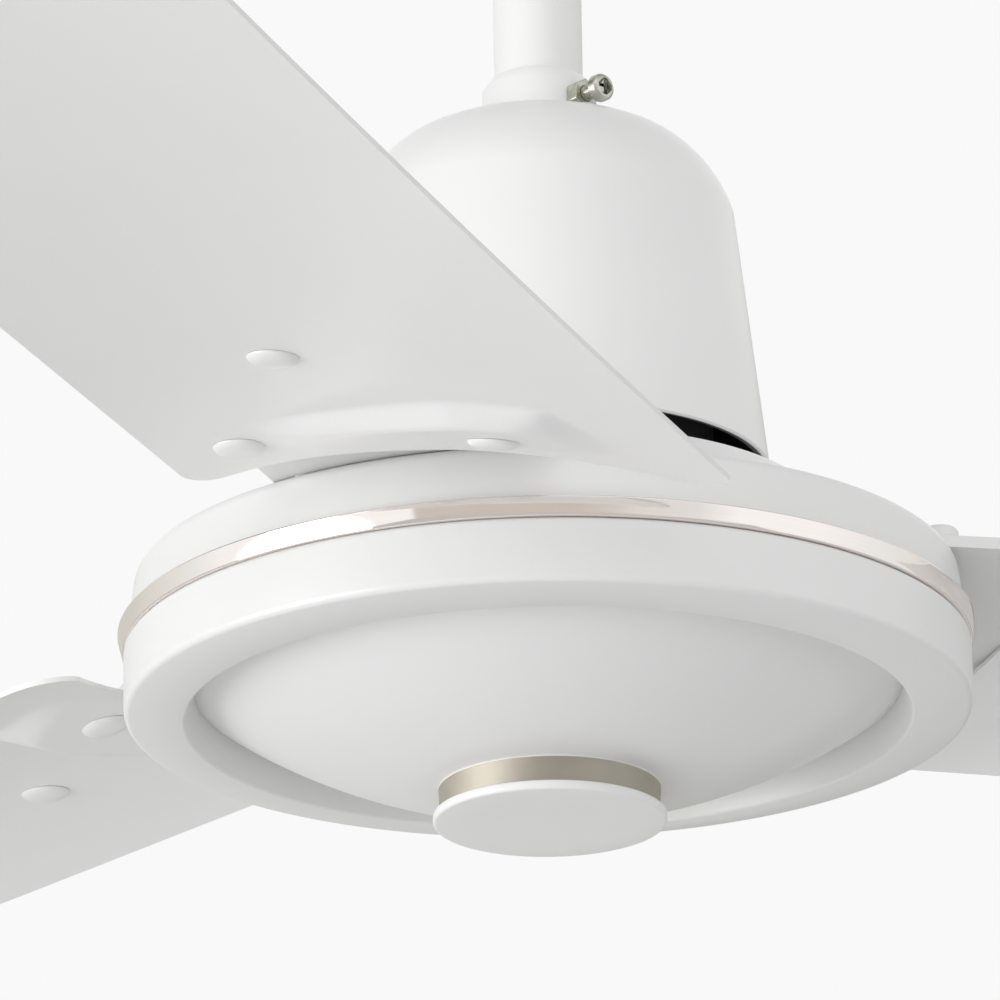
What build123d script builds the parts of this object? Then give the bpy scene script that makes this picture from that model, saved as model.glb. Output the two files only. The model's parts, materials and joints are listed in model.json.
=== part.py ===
from build123d import *
import os
from math import atan, degrees, radians, sin, sqrt

os.makedirs("parts", exist_ok=True)

# A three-blade ceiling fan that hangs from a ceiling hook.
# Sizes are in millimetres. Z points up and the fan's axis is the Z axis.
# Heights are set out from the top edge of the bright ring round the motor, which is
# height 0 while the pieces are made. The finished pieces are then lowered so that the
# origin is where the ceiling hook carries the rubber reel.

# General clearances
slide_gap = 0.3
seat_gap = 0.05
rivet_gap = 0.16
canopy_gap = 0.1
gap_to_rotor = 0.5

# Motor casing
ring_radius = 106.0
ring_height = 4.8
ring_flange = 1.2
ring_step = 2.6
wall_radius = ring_radius - ring_step
wall_thickness = 3.6
wall_taper = 1.4
split_level = -2.5
ledge_level = 14.6
ledge_width = 19.4
ledge_inner = wall_radius - ledge_width
edge_round = 3.0
crown_step = 16.0
crown_radius = ledge_inner - crown_step
crown_level = 31.0
crown_rise = 1.0
casing_wall = 2.5
hub_radius = 25.0
hub_top = 36.0
cover_screw_count = 6
cover_screw_inset = 6.0
cover_screw_circle = wall_radius - cover_screw_inset
cover_screw_radius = 2.0
cover_screw_head = 3.5
cover_screw_head_height = 2.4
cover_screw_top = 9.0
rim_seat = 1.5

# Skirt and dish under the motor
skirt_step = 1.4
skirt_radius = ring_radius - skirt_step
skirt_wall = 2.2
skirt_bottom = -21.0
skirt_round = 2.5
rim_width = 17.4
dish_radius = skirt_radius - rim_width
dish_rim_level = -14.6
dish_sphere = 150.0
lip_level = -22.8
lip_lean = 2.2
lip_wall = 1.6
neck_radius = 27.4
neck_waist = 27.0
neck_bottom = -46.8
cap_radius = 28.8
cap_thickness = 2.3
cap_stem_wall = 1.6
cap_stem_length = 6.0

# Shaft, bearings and rod
shaft_bottom = -37.5
lower_bearing_level = -33.0
lower_bearing_bore = 15.0
lower_bearing_outside = 35.0
lower_bearing_width = 11.0
upper_bearing_level = 20.0
upper_bearing_bore = 17.0
upper_bearing_outside = 40.0
upper_bearing_width = 12.0
bearing_ball_count = 8
stator_seat_radius = 11.0
shaft_shoulder = 13.5
wire_bore = 4.5
wire_bore_floor = 12.0
wire_window = 2.6
wire_window_level = 16.4
coupling_radius = 16.0
coupling_bottom = 44.0
socket_floor = 60.0
coupling_top = 96.0
lead_hole = 5.0
lead_hole_rise = 26.0
rod_radius = 11.1
rod_wall = 2.3
rod_length = 300.0
rod_bolt_inset = 14.0
rod_top_bolt_inset = 11.0
bolt_radius = 3.0
bolt_clearance = 0.2
split_pin_radius = 0.75
split_pin_leg = 4.0
split_pin_eye = 2.0
bolt_across = 10.0
reel_bolt_across = 13.0
circlip_thickness = 1.2

# Stator and rotor
stack_height = 18.0
rotor_depth = 17.5
tooth_count = 14
tooth_width = 12.0
tooth_root = 45.0
shoe_depth = 6.0
shoe_gap = 6.0
coil_side = 3.3
coil_end = 4.5
coil_inner = 47.0
coil_to_shoe = 2.0
coil_clearance = 0.4
rotor_wall = 10.9
rotor_ring_radius = wall_radius - rotor_wall
stator_radius = rotor_ring_radius - rotor_depth
shoe_root = stator_radius - shoe_depth
coil_outer = shoe_root - coil_to_shoe
cage_ring_height = 2.5
cage_bar_count = 28
cage_bar_size = 3.0
cage_bar_inset = 6.0
cage_bar_circle = stator_radius + cage_bar_inset

# Blades
blade_count = 3
sweep_radius = 600.0
sheet_thickness = 1.2
blade_height = 9.3
blade_pitch = 0.0736
camber_radius = 431.0
blade_droop = 0.0235
high_edge_root = 52.5
high_edge_tip = 48.0
root_gap = 14.5
root_arc_radius = ring_radius + root_gap
blank_start_inset = 30.5
low_edge_root = 82.0
low_edge_middle = 85.2
low_edge_tip = 94.0
tip_low_round = 42.0
tip_high_round = 30.0
root_low_round = 10.0
root_high_round = 6.5
pad_depth = 2.8
pad_foot_inset = 29.0
pad_wall_run = 8.5
pad_step_far = 16.5
pad_step_near = 6.5
pad_high_top = -26.0
pad_high_floor = -6.0
pad_low_floor = 47.0
pad_low_top = 56.0
pad_foot_high_top = -22.0
pad_foot_high_floor = -7.0
pad_foot_low_floor = 38.0
pad_foot_low_top = 53.0
pad_front_high_top = -6.0
pad_front_high_floor = 3.0
pad_front_low_floor = 36.0
pad_front_low_top = 46.0
pad_margin = 8.0
blank_high_side = -66.0
blank_low_side = 104.0

# Blade shanks, rivets and screws
shank_thickness = 3.0
shank_setback = 1.0
shank_half_width = 38.0
shank_flat_past_ring = 0.5
shank_bend_lead = 0.5
shank_nose_margin = 9.0
shank_nose_half = 12.0
shank_waist = 30.0
rivet_inner_inset = 12.5
rivet_inner_side = 32.0
rivet_outer_inset = 76.5
rivet_head_radius = 6.3
rivet_head_height = 1.8
rivet_shank_radius = 2.5
rivet_tail_radius = 4.5
rivet_tail_height = 1.5
shank_screw_inset = 10.4
shank_screw_side = 30.0
shank_screw_radius = 2.5
shank_screw_head = 4.6
shank_screw_head_height = 3.3
shank_screw_length = 10.0
washer_radius = 5.6
washer_thickness = 1.0

# Canopies over the two ends of the rod
canopy_mouth = 55.9
canopy_shoulder = 48.3
canopy_height = 92.4
canopy_shoulder_drop = 25.2
canopy_upper_radius = 43.9
canopy_upper_drop = 15.7
canopy_bend_radius = 34.9
canopy_bend_drop = 6.6
canopy_dome_radius = 25.0
canopy_dome_drop = 2.2
canopy_wall = 1.2
canopy_lip = 2.0
lower_canopy_mouth_level = 40.9
collar_radius = 14.2
collar_height = 11.7
collar_chamfer = 3.0
collar_top_radius = 12.2
ceiling_rise = 58.0
canopy_screw_angle = -58.5
canopy_screw_rise = 4.0
canopy_screw_radius = 2.0
canopy_screw_reach = 7.4
canopy_screw_head = 3.5
canopy_screw_head_length = 2.8
canopy_nut_across = 7.0
canopy_nut_thickness = 3.2

# Shackle and reel
reel_bolt_rise = 30.0
reel_radius = 18.0
reel_groove = 11.0
reel_width = 22.0
reel_flange = 2.5
reel_bolt_radius = 4.0
shackle_gap = 22.6
shackle_strap = 3.0
shackle_width = 25.0
shackle_foot_drop = 22.5
shackle_round = 5.0
shackle_top_gap = 2.0

# Wiring inside the lower canopy
holder_radius = 42.0
holder_wall = 1.6
holder_height = 12.0
capacitor_length = 36.0
capacitor_width = 26.0
capacitor_depth = 14.0
capacitor_offset = 28.0
terminal_length = 30.0
terminal_depth = 13.0
terminal_height = 15.0
terminal_offset = 27.0

# Sizes that follow from the ones above
rod_bottom = socket_floor
rod_top = rod_bottom + rod_length
reel_bolt_level = rod_top + reel_bolt_rise
hook_seat_level = reel_bolt_level - reel_groove
shackle_bottom = rod_top - shackle_foot_drop
ceiling_level = rod_top + ceiling_rise
sphere_centre = dish_rim_level + sqrt(dish_sphere**2 - dish_radius**2)
blank_start = root_arc_radius - blank_start_inset
pad_foot = root_arc_radius + pad_foot_inset
pad_front = pad_foot + pad_wall_run
shank_inner = ledge_inner + shank_setback
shank_bend_out = ring_radius + shank_flat_past_ring
shank_bend_in = root_arc_radius - shank_bend_lead
rivet_inner_reach = root_arc_radius + rivet_inner_inset
rivet_outer_reach = root_arc_radius + rivet_outer_inset
shank_nose = rivet_outer_reach + shank_nose_margin
shank_screw_reach = wall_radius - shank_screw_inset
drill_length = 5 * coupling_radius
block_height = 0.2 * sweep_radius


def disc(radius, bottom, top, hole=0.0):
    """A flat-ended cylinder round the Z axis, with an optional hole."""
    height = top - bottom
    body = Pos(0, 0, bottom + height / 2) * Cylinder(radius, height)
    if hole > 0:
        body -= Pos(0, 0, bottom + height / 2) * Cylinder(hole, height + 2)
    return body


def lathe(*points):
    """Turn a closed outline of (radius, height) points round the Z axis."""
    outline = make_face(Plane.XZ * Polyline(*points, close=True))
    return revolve(outline, Axis.Z)


def across(radius, x, y, z, length, axis):
    """A cylinder centred at a point, lying along the X or the Y axis."""
    turn = Rotation(0, 90, 0) if axis == "X" else Rotation(90, 0, 0)
    return Pos(x, y, z) * turn * Cylinder(radius, length)


def hexagon(across_flats, thickness):
    """A hexagonal prism along Z, centred at the origin."""
    return extrude(RegularPolygon(across_flats / sqrt(3), 6), thickness / 2, both=True)


def around(piece, count, start=0.0):
    """Copies of a piece, evenly spaced round the Z axis."""
    return [Rotation(0, 0, start + 360.0 * index / count) * piece for index in range(count)]


# Blades: a thin cambered sheet, pitched, with a pressed seat at its root

def sheet_underside(reach, side):
    """Height of the plain sheet's underside at a place on the blade."""
    fall = blade_pitch * side + side**2 / (2 * camber_radius)
    return blade_height - fall - blade_droop * (reach - ring_radius)


def pad_stations():
    """Reach, the sides of the seat's two walls (outer, inner) and its depth there."""
    root = (pad_high_top, pad_high_floor, pad_low_floor, pad_low_top)
    foot = (pad_foot_high_top, pad_foot_high_floor, pad_foot_low_floor, pad_foot_low_top)
    front = (pad_front_high_top, pad_front_high_floor, pad_front_low_floor, pad_front_low_top)
    near_foot = tuple(0.5 * (a + b) for a, b in zip(root, foot))
    return [
        (blank_start,) + root + (0.0,),
        (shank_bend_in,) + root + (0.0,),
        (pad_foot - pad_step_far,) + root + (pad_depth * 0.42,),
        (pad_foot - pad_step_near,) + near_foot + (pad_depth * 0.75,),
        (pad_foot,) + foot + (pad_depth,),
        (pad_front,) + front + (0.0,),
        (1.02 * sweep_radius,) + front + (0.0,),
    ]


def seat_drop(reach, side):
    """How far the pressed seat lies below the plain sheet at a place."""
    stations = pad_stations()
    for near, far in zip(stations, stations[1:]):
        if near[0] <= reach <= far[0]:
            part = (reach - near[0]) / (far[0] - near[0])
            row = [a + part * (b - a) for a, b in zip(near, far)]
            if side <= row[1] or side >= row[4]:
                return 0.0
            if side < row[2]:
                return row[5] * (side - row[1]) / (row[2] - row[1])
            if side > row[3]:
                return row[5] * (row[4] - side) / (row[4] - row[3])
            return row[5]
    return 0.0


def spread(first, last, count):
    """Evenly spaced values from the first to the last."""
    return [first + (last - first) * index / (count - 1) for index in range(count)]


def sheet_section(station, lift):
    """Points across the sheet at one station, as (side, height)."""
    reach, left_out, left_in, right_in, right_out, depth = station
    plain_left = spread(blank_high_side, pad_high_top - pad_margin, 4)
    seat = spread(left_in, right_in, 5)
    plain_right = spread(pad_low_top + pad_margin, blank_low_side, 4)
    points = [(side, sheet_underside(reach, side) + lift) for side in plain_left + [left_out]]
    points += [(side, sheet_underside(reach, side) - depth + lift) for side in seat]
    points += [(side, sheet_underside(reach, side) + lift) for side in [right_out] + plain_right]
    return points


def blade_blank():
    """The pressed sheet before its outline is cut, with the blade along X."""
    sections = []
    for station in pad_stations():
        lower = sheet_section(station, 0.0)
        upper = sheet_section(station, sheet_thickness)
        outline = lower + upper[::-1]
        points = [(station[0], side, height) for side, height in outline]
        sections.append(make_face(Polyline(*points, close=True)))
    return loft(sections, ruled=True)


def blade_cutter():
    """The blade's plan as a tall block: long edges, round tip corners, hollow root."""
    middle = (blank_start + sweep_radius) / 2
    low_edge = ThreePointArc((blank_start, low_edge_root), (middle, low_edge_middle), (sweep_radius, low_edge_tip))
    end = Line((sweep_radius, low_edge_tip), (sweep_radius, -high_edge_tip))
    high_edge = Line((sweep_radius, -high_edge_tip), (blank_start, -high_edge_root))
    start = Line((blank_start, -high_edge_root), (blank_start, low_edge_root))
    plan = make_face(Curve() + [low_edge, end, high_edge, start])
    block = Pos(0, 0, -block_height / 2) * extrude(plan, block_height)
    block -= Cylinder(root_arc_radius, 2 * block_height)
    for out, side, radius in ((1.0, 1.0, tip_low_round), (1.0, -1.0, tip_high_round)):
        edges = block.edges().filter_by(Axis.Z)
        edge = edges.sort_by(lambda e: out * e.center().X * 4 + side * e.center().Y)[-1]
        block = fillet(edge, radius)
    for edge, radius in ((low_edge_root, root_low_round), (-high_edge_root, root_high_round)):
        block -= root_corner(edge, radius)
    return block


def root_corner(edge, radius):
    """What is cut away outside the rounding between the hollow root and a long edge."""
    turn = 1.0 if edge > 0 else -1.0
    side = edge - turn * radius
    reach = sqrt((root_arc_radius + radius) ** 2 - side**2)
    touch = side * root_arc_radius / (root_arc_radius + radius)
    width = abs(edge - touch) + 2 * radius
    square = Pos(reach - radius, touch + turn * width / 2) * Rectangle(2 * radius, width)
    corner = square - Pos(reach, side) * Circle(radius)
    return Pos(0, 0, -block_height / 2) * extrude(corner, block_height)


def rivet_places():
    """Reach and side of a blade's three rivets."""
    return [
        (rivet_outer_reach, 0.0),
        (rivet_inner_reach, -rivet_inner_side),
        (rivet_inner_reach, rivet_inner_side),
    ]


def make_blade():
    sheet = blade_blank() & blade_cutter()
    for reach, side in rivet_places():
        sheet -= Pos(reach, side, 0) * Cylinder(rivet_shank_radius + slide_gap, block_height)
    return sheet


# Shanks: a pressed steel plate from the motor's ledge to the blade's upper side

def shank_section(station, lift):
    """Points across the shank at one station: flat on the motor, then on the sheet."""
    on_sheet = station[0] >= shank_bend_in
    points = sheet_section(station, sheet_thickness + seat_gap + lift)
    if on_sheet:
        return points
    return [(side, ledge_level + lift) for side, height in points]


def shank_blank():
    """The shank before its outline is cut, pressed over the blade's own seat."""
    sides = pad_stations()[1][1:]
    stations = [(shank_inner - 2.0,) + sides, (shank_bend_out,) + sides, (shank_bend_in,) + sides]
    stations += [station for station in pad_stations() if shank_bend_in + 2.0 < station[0] < pad_front + 1.0]
    stations.append((shank_nose + 4.0,) + pad_stations()[-1][1:])
    sections = []
    for station in stations:
        outline = shank_section(station, 0.0) + shank_section(station, shank_thickness)[::-1]
        points = [(station[0], side, height) for side, height in outline]
        sections.append(make_face(Polyline(*points, close=True)))
    return loft(sections, ruled=True)


def shank_outline():
    """The shank's plan: a wide foot, a waist and a nose at the outer rivet."""
    plan = make_face(Polyline(
        (shank_inner, shank_half_width),
        (shank_bend_out + 2.0, shank_half_width),
        (shank_bend_in, shank_waist + 8.0),
        (rivet_inner_reach + 8.0, shank_half_width),
        (shank_nose, shank_nose_half),
        (shank_nose, -shank_nose_half),
        (rivet_inner_reach + 8.0, -shank_half_width),
        (shank_bend_in, -shank_waist - 8.0),
        (shank_bend_out + 2.0, -shank_half_width),
        (shank_inner, -shank_half_width),
        close=True,
    ))
    nose = [v for v in plan.vertices() if v.X > shank_nose - 0.01]
    plan = fillet(nose, shank_nose_half - 1.5)
    foot = [v for v in plan.vertices() if v.X < shank_inner + 0.01]
    plan = fillet(foot, 6.0)
    return plan


def make_shank():
    cutter = Pos(0, 0, -block_height / 2) * extrude(shank_outline(), block_height)
    plate = shank_blank() & cutter
    for reach, side in rivet_places():
        plate -= Pos(reach, side, 0) * Cylinder(rivet_shank_radius + 2 * slide_gap, block_height)
    for side in (-shank_screw_side, shank_screw_side):
        plate -= Pos(shank_screw_reach, side, 0) * Cylinder(shank_screw_radius + bolt_clearance, block_height)
    return plate


def make_rivet(reach, side):
    """A rivet with a low round head under the blade and a small head above the shank."""
    slope = blade_pitch + side / camber_radius
    fall = blade_droop + (seat_drop(reach + 3.0, side) - seat_drop(reach - 3.0, side)) / 6.0
    under = sheet_underside(reach, side) - seat_drop(reach, side) - rivet_gap
    grip = sheet_thickness + shank_thickness + seat_gap + 3 * rivet_gap
    dome_radius = (rivet_head_radius**2 + rivet_head_height**2) / (2 * rivet_head_height)
    dome = Pos(0, 0, dome_radius - rivet_head_height) * Sphere(dome_radius)
    dome &= Pos(0, 0, -rivet_head_height / 2) * Cylinder(rivet_head_radius + 1, rivet_head_height)
    stem = Pos(0, 0, grip / 2) * Cylinder(rivet_shank_radius, grip)
    tail = Pos(0, 0, grip + rivet_tail_height / 2) * Cylinder(rivet_tail_radius, rivet_tail_height)
    lean = Rotation(-degrees(atan(slope)), degrees(atan(fall)), 0)
    return Pos(reach, side, under) * lean * (dome + stem + tail)


def pan_screw(radius, length, head_radius, head_height):
    """A screw pointing down from the origin, with its round head above."""
    head = Pos(0, 0, head_height / 2) * Cylinder(head_radius, head_height)
    head = fillet(head.edges().group_by(Axis.Z)[-1], head_height * 0.45)
    slot = Box(head_radius * 1.2, head_height * 0.3, head_height * 0.6)
    slot += Box(head_height * 0.3, head_radius * 1.2, head_height * 0.6)
    head -= Pos(0, 0, head_height) * slot
    return head + Pos(0, 0, -length / 2) * Cylinder(radius, length)


# Motor casing

def make_top_cover():
    seat = rotor_ring_radius + seat_gap
    inner = wall_radius - wall_thickness
    underside = ledge_level - casing_wall
    bearing = upper_bearing_outside / 2
    shell = lathe(
        (inner, split_level),
        (wall_radius, split_level),
        (wall_radius, 1.0),
        (wall_radius - wall_taper, ledge_level),
        (ledge_inner, ledge_level),
        (crown_radius, crown_level),
        (hub_radius + 4.0, crown_level + crown_rise),
        (hub_radius, crown_level + crown_rise + 3.0),
        (hub_radius, hub_top),
        (bearing - 4.0, hub_top),
        (bearing - 4.0, upper_bearing_level + upper_bearing_width),
        (bearing, upper_bearing_level + upper_bearing_width),
        (bearing, upper_bearing_level),
        (hub_radius, upper_bearing_level),
        (hub_radius + 2.0, crown_level + crown_rise - casing_wall),
        (crown_radius - 1.0, crown_level - casing_wall),
        (ledge_inner - 1.0, underside),
        (seat, underside),
        (seat, 2.0),
        (inner, 2.0),
    )
    rim = shell.edges().filter_by(GeomType.CIRCLE).filter_by(
        lambda e: abs(e.radius - (wall_radius - wall_taper)) < 0.01)
    shell = fillet(rim, edge_round)
    crown = shell.edges().filter_by(GeomType.CIRCLE).filter_by(
        lambda e: abs(e.radius - crown_radius) < 0.01)
    shell = fillet(crown, 4.0)
    for turn in around(Pos(shank_screw_reach, 0, 0), blade_count):
        for side in (-shank_screw_side, shank_screw_side):
            shell -= turn * Pos(0, side, ledge_level - shank_screw_length / 2 + 1.0) * Cylinder(
                shank_screw_radius + seat_gap, shank_screw_length)
    pilot = cover_screw_top + 1.5 - split_level
    for hole in around(Pos(cover_screw_circle, 0, split_level + pilot / 2 - 0.5), cover_screw_count, 30.0):
        shell -= hole * Cylinder(cover_screw_radius + seat_gap, pilot)
    return shell


def make_bottom_cover():
    seat = rotor_ring_radius + seat_gap
    outside = skirt_radius - skirt_wall - slide_gap
    bearing = lower_bearing_outside / 2
    bearing_top = lower_bearing_level + lower_bearing_width
    shoulder = dish_rim_level + rim_seat
    inner_sphere = dish_sphere - casing_wall
    neck_start = sphere_centre - sqrt(dish_sphere**2 - neck_radius**2)
    hub_wall = bearing + 4.5
    hub_join = sphere_centre - sqrt(inner_sphere**2 - hub_wall**2)
    inner_edge = dish_radius - 2.0
    middle = (dish_radius + neck_radius) / 2
    inner_join = sphere_centre - sqrt(inner_sphere**2 - inner_edge**2)

    def on_sphere(radius, reach):
        return (reach, sphere_centre - sqrt(radius**2 - reach**2))

    outline = [
        ThreePointArc(on_sphere(dish_sphere, dish_radius), on_sphere(dish_sphere, middle), (neck_radius, neck_start)),
        Line((neck_radius, neck_start), (neck_waist, neck_bottom + 1.5)),
        Line((neck_waist, neck_bottom + 1.5), (neck_waist, neck_bottom)),
        Line((neck_waist, neck_bottom), (bearing - 3.0, neck_bottom)),
        Line((bearing - 3.0, neck_bottom), (bearing - 3.0, lower_bearing_level)),
        Line((bearing - 3.0, lower_bearing_level), (bearing, lower_bearing_level)),
        Line((bearing, lower_bearing_level), (bearing, bearing_top)),
        Line((bearing, bearing_top), (hub_wall, bearing_top)),
        Line((hub_wall, bearing_top), (hub_wall, hub_join)),
        ThreePointArc((hub_wall, hub_join), on_sphere(inner_sphere, middle), (inner_edge, inner_join)),
        Line((inner_edge, inner_join), (seat, -stack_height / 2 - cage_ring_height - 0.5)),
        Line((seat, -stack_height / 2 - cage_ring_height - 0.5), (seat, split_level)),
        Line((seat, split_level), (outside, split_level)),
        Line((outside, split_level), (outside, shoulder)),
        Line((outside, shoulder), (dish_radius + 1.0, shoulder)),
        Line((dish_radius + 1.0, shoulder), (dish_radius, dish_rim_level)),
    ]
    shell = revolve(make_face(Plane.XZ * Curve(outline)), Axis.Z)
    for hole in around(Pos(cover_screw_circle, 0, (shoulder + split_level) / 2), cover_screw_count, 30.0):
        shell -= hole * Cylinder(cover_screw_radius + bolt_clearance, stack_height)
    return shell


def make_cover_screws():
    seat = dish_rim_level + rim_seat
    length = cover_screw_top - seat
    screw = pan_screw(cover_screw_radius, length, cover_screw_head, cover_screw_head_height)
    screw = Rotation(180, 0, 0) * screw
    return around(Pos(cover_screw_circle, 0, seat) * screw, cover_screw_count, 30.0)


def make_trim_ring():
    outer = ring_radius
    inner = wall_radius + seat_gap
    ring = lathe(
        (outer - 0.4, 0.0),
        (outer, -0.4),
        (outer, 0.4 - ring_height),
        (outer - 0.4, -ring_height),
        (wall_radius - ring_flange, -ring_height),
        (wall_radius - ring_flange, split_level - seat_gap),
        (inner, split_level - seat_gap),
        (inner, 0.0),
    )
    return ring


def make_skirt():
    top = -ring_height - seat_gap
    inner = skirt_radius - skirt_wall
    lip_top = dish_rim_level - seat_gap
    skirt = lathe(
        (inner, top),
        (skirt_radius - 0.8, top),
        (skirt_radius, top - 0.8),
        (skirt_radius, skirt_bottom),
        (dish_radius + lip_lean, lip_level),
        (dish_radius, lip_top),
        (dish_radius + lip_wall, lip_top),
        (dish_radius + lip_lean + lip_wall, lip_level + skirt_wall),
        (inner, skirt_bottom + skirt_wall),
    )
    rim = skirt.edges().filter_by(GeomType.CIRCLE).filter_by(
        lambda e: abs(e.radius - skirt_radius) < 0.01 and abs(e.arc_center.Z - skirt_bottom) < 0.01)
    return fillet(rim, skirt_round)


def make_end_cap():
    top = neck_bottom
    stem = lower_bearing_outside / 2 - 3.0 - seat_gap
    plate = disc(cap_radius, top - cap_thickness, top)
    plate = fillet(plate.edges().group_by(Axis.Z)[0], 0.8)
    return plate + disc(stem, top - 0.5, top + cap_stem_length, stem - cap_stem_wall)


# Shaft, bearings and motor

def make_shaft():
    half = stack_height / 2
    seat_lower = lower_bearing_bore / 2
    seat_upper = upper_bearing_bore / 2
    lower_top = lower_bearing_level + lower_bearing_width
    body = lathe(
        (0.0, shaft_bottom),
        (seat_lower, shaft_bottom),
        (seat_lower, lower_top),
        (seat_lower + 2.5, lower_top),
        (seat_lower + 2.5, -half - 5.0),
        (shaft_shoulder, -half - 5.0),
        (shaft_shoulder, -half),
        (stator_seat_radius, -half),
        (stator_seat_radius, half + 3.0),
        (seat_upper + 1.5, half + 3.0),
        (seat_upper + 1.5, upper_bearing_level),
        (seat_upper, upper_bearing_level),
        (seat_upper, coupling_bottom),
        (coupling_radius, coupling_bottom + 3.0),
        (coupling_radius, coupling_top),
        (0.0, coupling_top),
    )
    body -= disc(rod_radius + seat_gap, socket_floor, coupling_top + 1.0)
    body -= disc(wire_bore, wire_bore_floor, coupling_top + 1.0)
    body -= across(wire_window, seat_upper, 0, wire_window_level, 2 * seat_upper, "X")
    body -= across(bolt_radius + bolt_clearance, 0, 0, rod_bottom + rod_bolt_inset, drill_length, "Y")
    body -= across(lead_hole, coupling_radius, 0, socket_floor + lead_hole_rise, 2 * coupling_radius, "X")
    return body


def bearing_sizes(bore, outside):
    """Inner land, outer land, ball circle and ball radius of a ball bearing."""
    inside = bore / 2
    outer = outside / 2
    depth = outer - inside
    ball = depth * 0.28
    middle = (inside + outer) / 2
    return middle - ball * 0.45, middle + ball * 0.45, middle, ball


def make_bearing(level, bore, outside, width):
    """Inner race, outer race and balls of one bearing."""
    inner_land, outer_land, circle, ball = bearing_sizes(bore, outside)
    middle = level + width / 2
    groove = Pos(0, 0, middle) * Torus(circle, ball + seat_gap)
    inner = disc(inner_land, level, level + width, bore / 2 + 0.02) - groove
    outer = disc(outside / 2 - 0.02, level, level + width, outer_land) - groove
    balls = around(Pos(circle, 0, middle) * Sphere(ball), bearing_ball_count)
    return inner, outer, balls


def make_circlip(level, shaft_radius, outside, gap_angle):
    ring = disc(outside, level, level + circlip_thickness, shaft_radius + seat_gap)
    mouth = Pos(outside, 0, level) * Box(2 * outside, 2 * outside * sin(radians(gap_angle / 2)), 10.0)
    return ring - mouth


def make_stator_core():
    half = stack_height / 2
    shoe = disc(stator_radius, -half, half, shoe_root)
    gap = Pos(stator_radius, 0, 0) * Box(20.0, shoe_gap, stack_height + 2)
    step = 180.0 / tooth_count
    for cut in around(gap, tooth_count, step):
        shoe -= cut
    core = disc(tooth_root, -half, half, stator_seat_radius + 0.02)
    tooth_length = shoe_root + 1.0 - tooth_root + 3.0
    tooth = Pos(tooth_root - 3.0 + tooth_length / 2, 0, 0) * Box(tooth_length, tooth_width, stack_height)
    for copy in around(tooth, tooth_count):
        core += copy
    core += shoe
    for hole in around(Pos(27.0, 0, 0), 6):
        core -= hole * Cylinder(6.0, stack_height + 2)
    return core


def make_coils():
    length = coil_outer - coil_inner
    wide = tooth_width + 2 * coil_clearance
    tall = stack_height + 2 * coil_clearance
    outer = Rectangle(wide + 2 * coil_side, tall + 2 * coil_end)
    outer = fillet(outer.vertices(), 3.0)
    face = outer - Rectangle(wide, tall)
    coil = extrude(Plane.YZ * face, length)
    return around(Pos(coil_inner, 0, 0) * coil, tooth_count)


def make_rotor_core():
    half = stack_height / 2
    core = disc(rotor_ring_radius, -half, half, stator_radius + gap_to_rotor)
    slot = Pos(cage_bar_circle, 0, 0) * Box(cage_bar_size, cage_bar_size, stack_height + 2)
    for cut in around(slot, cage_bar_count):
        core -= cut
    return core


def make_rotor_cage():
    half = stack_height / 2
    inner = cage_bar_circle - 4.0
    outer = cage_bar_circle + 5.0
    cage = disc(outer, half, half + cage_ring_height, inner)
    cage += disc(outer, -half - cage_ring_height, -half, inner)
    size = cage_bar_size - 0.04
    bar = Pos(cage_bar_circle, 0, 0) * Box(size, size, stack_height + 1.0)
    for copy in around(bar, cage_bar_count):
        cage += copy
    return cage


# Rod, canopies and hanging gear

def make_rod():
    rod = disc(rod_radius, rod_bottom + seat_gap, rod_top, rod_radius - rod_wall)
    for level in (rod_bottom + rod_bolt_inset, rod_top - rod_top_bolt_inset):
        rod -= across(bolt_radius + bolt_clearance, 0, 0, level, drill_length, "Y")
    rod -= across(lead_hole, rod_radius, 0, socket_floor + lead_hole_rise, 2 * rod_radius, "X")
    return rod


def canopy_form(offset):
    """The canopy's outer form, or its inside when offset by the wall."""
    start = -canopy_wall if offset > 0 else 0.0
    mouth = (canopy_mouth - offset, start)
    shoulder = (canopy_shoulder - offset, canopy_height - canopy_shoulder_drop)
    upper = (canopy_upper_radius - offset * 0.9, canopy_height - canopy_upper_drop - offset * 0.5)
    bend = (canopy_bend_radius - offset * 0.6, canopy_height - canopy_bend_drop - offset * 0.8)
    dome = (canopy_dome_radius - offset * 0.3, canopy_height - canopy_dome_drop - offset)
    neck = (collar_radius - offset * 0.2, canopy_height - offset)
    outline = [
        Line((0, start), mouth),
        Line(mouth, shoulder),
        ThreePointArc(shoulder, upper, bend),
        ThreePointArc(bend, dome, neck),
        Line(neck, (0, canopy_height - offset)),
        Line((0, canopy_height - offset), (0, start)),
    ]
    return revolve(make_face(Plane.XZ * Curve(outline)), Axis.Z)


def make_canopy():
    """A canopy with its mouth down at height 0 and its collar on top."""
    shell = canopy_form(0.0)
    collar = lathe(
        (0, canopy_height - 1.0),
        (collar_radius, canopy_height - 1.0),
        (collar_radius, canopy_height + collar_height - collar_chamfer),
        (collar_top_radius, canopy_height + collar_height),
        (0, canopy_height + collar_height),
    )
    shell += collar
    shell -= canopy_form(canopy_wall)
    shell -= disc(rod_radius + canopy_gap, canopy_height - 10.0, canopy_height + collar_height + 1.0)
    lip = disc(canopy_mouth - 0.2, 0.0, canopy_wall, canopy_mouth - canopy_lip)
    shell += lip
    return shell - screw_drill(collar_radius + 5.0)


def screw_drill(reach):
    """The hole through the collar for the canopy's screw."""
    level = canopy_height + canopy_screw_rise
    hole = across(canopy_screw_radius + seat_gap, reach / 2, 0, level, reach, "X")
    return Rotation(0, 0, canopy_screw_angle) * hole


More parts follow.
